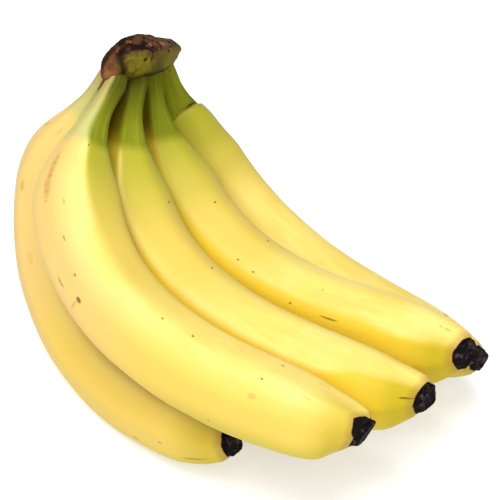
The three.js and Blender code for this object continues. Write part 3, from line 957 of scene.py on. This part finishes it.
# Patches of colour: share along the line and angle round it, and their spread in the same measures.
RIND_PATCHES = ((0.40, 196, 0.07, 16), (0.30, 170, 0.03, 18))
CUT_PATCHES = ((0.38, 72), (0.49, 111), (0.585, 127), (0.30, 80))
CUT_PATCH_SPREAD = (0.04, 13)
HOLE_SPREAD = (0.016, 5)
PATCH_EDGE = (0.3, 1.3)
PATCH_FRAY = 1.6
# The crown's patterns, in clouds to a metre.
BLOTCHES = 150
FINE_BLOTCHES = 600
BROAD_BLOTCHES = 75
WRINKLES = 420
WRINKLE_STRETCH = (1, 1, 0.35)
# How far they shift an edge: the first three in degrees round the crown, the others in shares along.
BLOTCH_WANDER = 46
FINE_WANDER = 26
UNDER_WANDER = 14
TAN_WANDER = 0.3
CREASE_WANDER = 0.02
SCAR_WANDER = 0.08
# What part of the patterns shows.
YELLOW_BLOTCHES = (-0.02, 0.16)
STAINED_BLOTCHES = (0.62, 0.82)
BROWN_BLOTCHES = (-0.05, 0.12)
MAUVE_BLOTCHES = (0.35, 0.6)
TAN_BLOTCHES = (0.4, 0.55)
RED_WRINKLES = (-0.14, 0.12)
# Stretches of the crown where one thing gives way to another, as shares along it.
RIND_TANS = (0.44, 0.6)
RIM_FALLS = (0.25, 0.5)
CUT_PALES = (0.42, 0.56)
SCAR_ENDS = (0.17, 0.215)
# Edges round the crown in degrees, from its far side up over the cut and down its face.
RIM_TURNS = (118, 143)
RIM_SOFT = 6
FAR_RIM = (-10, 20)
STAIN_FADES = (2, 34)
FACE_TURNS_UNDER = (190, 214)
RUN_ENDS = (185, 215)
SCAR_TOP = 80
SCAR_TOP_EDGE = (-8, 14)
# The crease in the face, the scar and the dark run beside it lean: a share along for each degree.
CREASE_AT = 0.445
CREASE_WIDTH = 0.0045
CREASE_LEAN = 0.0006
CREASE_LEANS_ROUND = 157
CREASE_SIDE = 158
CREASE_REACH = 11
SCAR_LEAN = 0.0012
SCAR_LEANS_ROUND = 150
RUN_AT = 0.235
RUN_WIDTH = 0.04
# How strongly a tint covers what is under it.
TAN_COVER = 0.8
STAIN_COVER = 0.8
MAUVE_COVER = 0.85
DARK_COVER = 0.9
SCAR_COVER = 0.92
SCAR_TOP_COVER = 0.85
STAIN_RAGGED = 1.6
RIND_ROUGHNESS = 0.75
RIND_SHINE = 0.03
BARK_RELIEF = (0.8, 0.0006)


def crown_station(along):
    """The place and the four reaches at a share along the crown, by a smooth curve."""
    rows = np.array([[*at, *reaches] for at, *reaches in CROWN_LINE])
    spot = along * (len(rows) - 1)
    step = min(int(spot), len(rows) - 2)
    t = spot - step
    before, here, beyond, last = (rows[min(max(step + k, 0), len(rows) - 1)] for k in (-1, 0, 1, 2))
    curve = 2 * here + (beyond - before) * t + (2 * before - 5 * here + 4 * beyond - last) * t**2
    return (curve + (3 * here - before - 3 * beyond + last) * t**3) / 2


def lumpy(place, lumps):
    """How far lumps of several sizes lift the surface at a place, in millimetres."""
    return sum(noise.noise(place * fine + Vector(moved)) * high for fine, high, moved in lumps)


def crown_section(along):
    """The middle of the crown at a share along it, the ways inward and up, and its four reaches."""
    row = crown_station(along)
    course = crown_station(min(along + COURSE_STEP, 1)) - crown_station(max(along - COURSE_STEP, 0))
    ahead = Vector(course[:3]).normalized()
    inward = Vector((-ahead.y, ahead.x, 0)).normalized()
    return Vector(row[:3]), inward, ahead.cross(inward), row[3:]


def crown_point(section, along, turn):
    """A point of the crown's surface in millimetres: a squarish ring, with lumps, the cut and holes."""
    middle, inward, upward, (high, low, front, back) = section
    across, rise = math.cos(turn), math.sin(turn)
    reach = abs(across / (back if across > 0 else front)) ** CROWN_SQUARENESS
    reach += abs(rise / (high if rise > 0 else low)) ** CROWN_SQUARENESS
    wave, waves_round, waves_along = WAVE
    waved = 1 + wave * math.sin(waves_round * turn + waves_along * along)
    radius = reach ** (-1 / CROWN_SQUARENESS) * waved
    place = middle + inward * (across * radius) + upward * (rise * radius)
    outward = (place - middle).normalized()
    place += outward * lumpy(place, RIND_LUMPS)

    above = (place - CUT_AT).dot(CUT_FACING)
    fine, high, level = FIBRES
    fibres = noise.noise(Vector((place.x * fine, place.y * fine, level))) * high
    rough = lumpy(place, CUT_LUMPS) + fibres
    if above > rough:
        place -= CUT_FACING * (above - rough)

    for hole_along, hole_angle, size, depth in CROWN_HOLES:
        off_angle = (math.degrees(turn) - hole_angle + 180) % 360 - 180
        off = math.hypot((along - hole_along) * CROWN_LENGTH, off_angle * CROWN_MM_A_DEGREE)
        place -= outward * depth * math.exp(-((off / size) ** 4))
    return place


def crown_mesh():
    """Rings along the crown, closed at both ends, that know their shares along it and turns."""
    places, shares, turns = [], [], []
    for step in range(CROWN_STEPS + 1):
        along = step / CROWN_STEPS
        section = crown_section(along)
        for side in range(CROWN_SIDES):
            turn = 2 * math.pi * side / CROWN_SIDES
            places.append(crown_point(section, along, turn) * MM)
            shares.append(along)
            turns.append(math.degrees(turn))
    faces = []
    for step in range(CROWN_STEPS):
        for side in range(CROWN_SIDES):
            here, beside = step * CROWN_SIDES + side, step * CROWN_SIDES + (side + 1) % CROWN_SIDES
            faces.append((here, beside, beside + CROWN_SIDES, here + CROWN_SIDES))
    for ring in (0, CROWN_STEPS * CROWN_SIDES):
        pole = len(places)
        places.append(sum(places[ring:ring + CROWN_SIDES], Vector()) / CROWN_SIDES)
        shares.append(shares[ring])
        turns.append(turns[ring])
        for side in range(CROWN_SIDES):
            one, other = ring + side, ring + (side + 1) % CROWN_SIDES
            faces.append((pole, other, one) if ring == 0 else (pole, one, other))
    mesh = bpy.data.meshes.new("crown_cushion")
    mesh.from_pydata(places, [], faces)
    mesh.polygons.foreach_set("use_smooth", [True] * len(mesh.polygons))
    mesh.attributes.new("crown_along", "FLOAT", "POINT").data.foreach_set("value", shares)
    mesh.attributes.new("up_turn", "FLOAT", "POINT").data.foreach_set("value", turns)
    return mesh


def crown_material():
    """Olive rind, the dark cut with its tan patches, and the tan scar on the left end."""
    material, shader = new_finish("crown_rind")
    tree = material.node_tree
    here = own_place(tree)

    def kept(name):
        """A number kept on the mesh's points."""
        node = tree.nodes.new("ShaderNodeAttribute")
        node.attribute_name = name
        return Wire(tree, node.outputs["Fac"])

    along, turn = kept("crown_along"), kept("up_turn")
    blotches = cloud(here, BLOTCHES, detail=3, seed=1)
    fine = cloud(here, FINE_BLOTCHES, detail=4, seed=2)
    broad = cloud(here, BROAD_BLOTCHES, detail=2, seed=4)
    ragged = blotches.wander(BLOTCH_WANDER) + fine.wander(FINE_WANDER)

    def patch(at, facing, long, wide):
        """1 at a place on the crown, fading out along it and round it."""
        off = ((along - at) / long).power(2) + ((turn - facing) / wide).power(2)
        return (off + blotches.wander(PATCH_FRAY)).ramp(*PATCH_EDGE, 1, 0)

    # The rind is yellow-green in the middle and tan to the right; painted shade darkens where it turns
    # under.
    colour = mixed((blotches + broad - 1).ramp(*YELLOW_BLOTCHES), RIND_OLIVE, RIND_YELLOW)
    tanned = (along + broad.wander(TAN_WANDER)).ramp(*RIND_TANS) * TAN_COVER
    colour = mixed(tanned, colour, RIND_TAN)
    for at, facing, long, wide in RIND_PATCHES:
        colour = mixed(patch(at, facing, long, wide), colour, RIND_YELLOW)
    under_shade = (turn + fine.wander(UNDER_WANDER)).ramp(*FACE_TURNS_UNDER)
    colour = mixed(under_shade, colour, RIND_UNDER_SHADE)

    # The cut is almost black with brown and tan patches, and has stained the rind below its rim.
    rim_turn = along.ramp(*RIM_FALLS, *RIM_TURNS)
    stain = (turn + ragged * STAIN_RAGGED - rim_turn).ramp(*STAIN_FADES, 1, 0)
    stain *= (blotches + fine * 0.5).ramp(*STAINED_BLOTCHES)
    colour = mixed(stain * STAIN_COVER, colour, CUT_BROWN)
    bark = mixed((broad + blotches - 1).ramp(*BROWN_BLOTCHES), DARK_CUT_AND_SHADE, CUT_BROWN)
    mauve = along.ramp(*CUT_PALES) * fine.ramp(*MAUVE_BLOTCHES) * MAUVE_COVER
    bark = mixed(mauve, bark, CUT_MAUVE)
    for at, facing in CUT_PATCHES:
        tanned = patch(at, facing, *CUT_PATCH_SPREAD) * fine.ramp(*TAN_BLOTCHES)
        bark = mixed(tanned, bark, CUT_TAN)
    cut = (turn + ragged - rim_turn).ramp(-RIM_SOFT, RIM_SOFT, 1, 0)
    cut *= (turn + ragged * 0.5).ramp(*FAR_RIM)
    colour = mixed(cut, colour, bark)

    # Painted shade darkens the holes inside and marks a thin crease down the face beside the largest.
    for at, facing, _, _ in CROWN_HOLES:
        colour = mixed(patch(at, facing, *HOLE_SPREAD) * DARK_COVER, colour, DARK_CUT_AND_SHADE)
    leaning = along + (turn - CREASE_LEANS_ROUND) * CREASE_LEAN + blotches.wander(CREASE_WANDER)
    crease = (leaning - CREASE_AT).bell(CREASE_WIDTH) * (turn - CREASE_SIDE).bell(CREASE_REACH)
    colour = mixed(crease * DARK_COVER, colour, DARK_CUT_AND_SHADE)

    # A dark stain runs down beside the tan scar on the left end, which is wrinkled and dark on top.
    leaning = along + (turn - SCAR_LEANS_ROUND) * SCAR_LEAN + blotches.wander(SCAR_WANDER)
    run = (leaning - RUN_AT).bell(RUN_WIDTH) * (turn + ragged).ramp(*RUN_ENDS, 1, 0)
    colour = mixed(run * DARK_COVER, colour, DARK_CUT_AND_SHADE)
    scar = leaning.ramp(*SCAR_ENDS, 1, 0)
    stretched = vectors("MULTIPLY", here, WRINKLE_STRETCH)
    wrinkles = cloud(stretched, WRINKLES, detail=4, seed=6)
    wrinkled = mixed((wrinkles + broad - 1).ramp(*RED_WRINKLES), SCAR_TAN, SCAR_RED)
    colour = mixed(scar * SCAR_COVER, colour, wrinkled)
    top = (turn + ragged * 0.5 - SCAR_TOP).ramp(*SCAR_TOP_EDGE, 1, 0)
    colour = mixed(scar * top * SCAR_TOP_COVER, colour, DARK_CUT_AND_SHADE)

    fill(shader, {"Base Color": colour, "Roughness": RIND_ROUGHNESS, "Specular IOR Level": RIND_SHINE})
    roughened(fine, *BARK_RELIEF)
    return material


cushion = placed("crown_cushion", crown_mesh())
cushion.data.materials.append(crown_material())
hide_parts("crown")
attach(cushion, "root")
